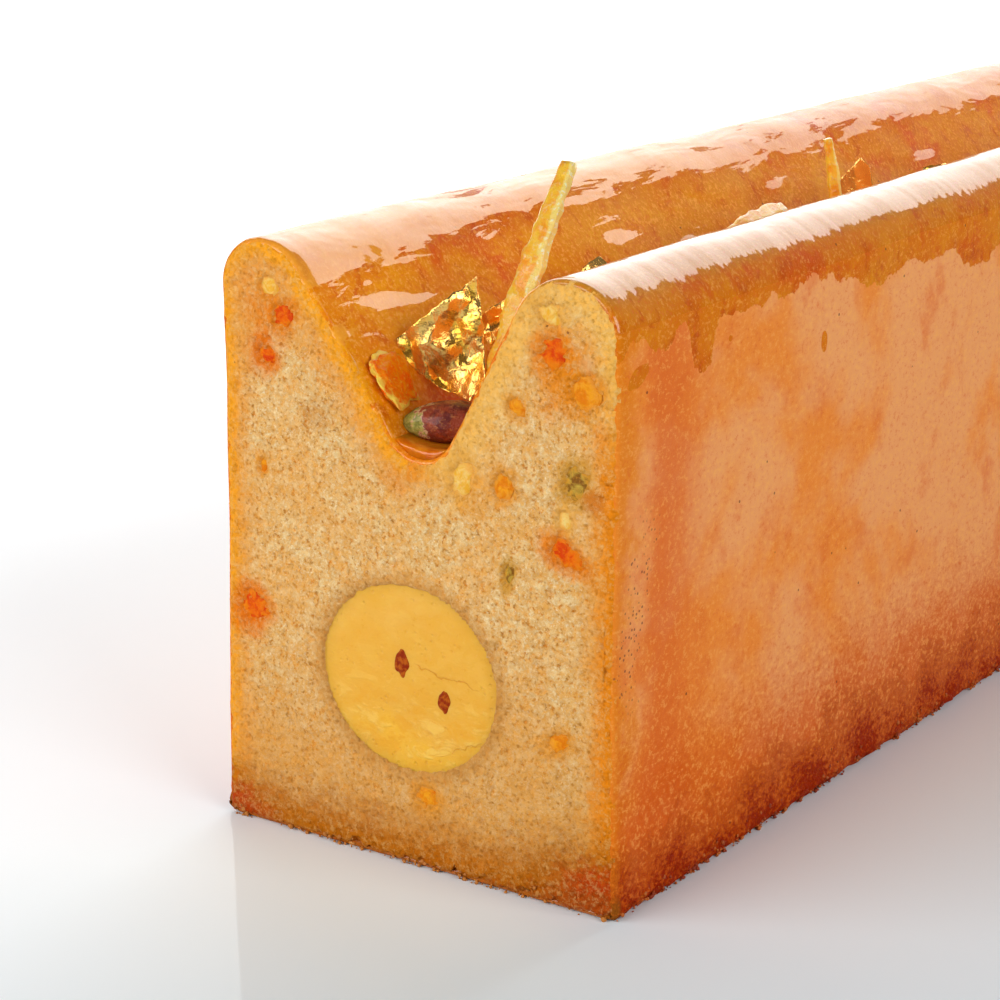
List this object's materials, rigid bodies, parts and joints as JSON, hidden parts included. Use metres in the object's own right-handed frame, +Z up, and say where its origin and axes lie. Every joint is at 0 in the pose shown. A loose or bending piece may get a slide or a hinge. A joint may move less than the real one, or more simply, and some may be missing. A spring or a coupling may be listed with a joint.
{
  "type": "travel cake",
  "caption": "Long glazed loaf cake cut square at both ends, with a grooved top, an oval filling bar, candied peel, pistachio, soft fruit and gold leaf.",
  "frame": {"origin": "centre of the flat base, on the surface that the cake stands on", "axes": "+X across the loaf to the right of the front cut end, +Y along the loaf from the front cut end to the back one, +Z up"},
  "size_m": [0.056, 0.24, 0.0797],
  "materials": {
    "crust": "glazed, with a pale crumb at the cut ends",
    "filling": "smooth satin cream",
    "peel": "candied, with sugar grains",
    "fruit": "translucent and glazed",
    "pistachio": "mottled skin",
    "gold": "crumpled leaf"
  },
  "bodies": {
    "root": {"back_below_filling": "peel", "back_left_low": "pistachio", "back_left_neck": "fruit", "back_left_shoulder": "pistachio", "back_middle": "peel", "back_right_low": "fruit", "back_right_ridge": "fruit", "back_right_shoulder": "fruit", "cake": "crust", "filling": "filling", "front_below_filling": "peel", "front_crescent": "fruit", "front_left_fleck": "fruit", "front_left_low": "fruit", "front_left_ridge_fruit": "fruit", "front_left_ridge_peel": "peel", "front_left_sliver": "peel", "front_middle": "fruit", "front_nut_fleck": "pistachio", "front_nut_shoulder": "pistachio", "front_peel_stick": "peel", "front_right_low": "fruit", "front_right_neck": "fruit", "front_right_ridge_fruit": "fruit", "front_right_ridge_peel": "peel", "front_slope_spot": "peel", "front_under_groove": "peel", "fruit_fourth": "fruit", "fruit_front": "fruit", "fruit_last": "fruit", "fruit_second": "fruit", "fruit_third": "fruit", "gold_beads": "gold", "gold_behind_peel": "gold", "gold_crumpled": "gold", "gold_far": "gold", "gold_front": "gold", "gold_low": "gold", "gold_peeping": "gold", "peel_far_leaning": "peel", "peel_far_upright": "peel", "peel_front": "peel", "peel_hooked": "peel", "peel_leaning": "peel", "peel_upright": "peel", "pistachio_fourth": "pistachio", "pistachio_front": "pistachio", "pistachio_last": "pistachio", "pistachio_second": "pistachio", "pistachio_third": "pistachio"}
  },
  "joints": []
}
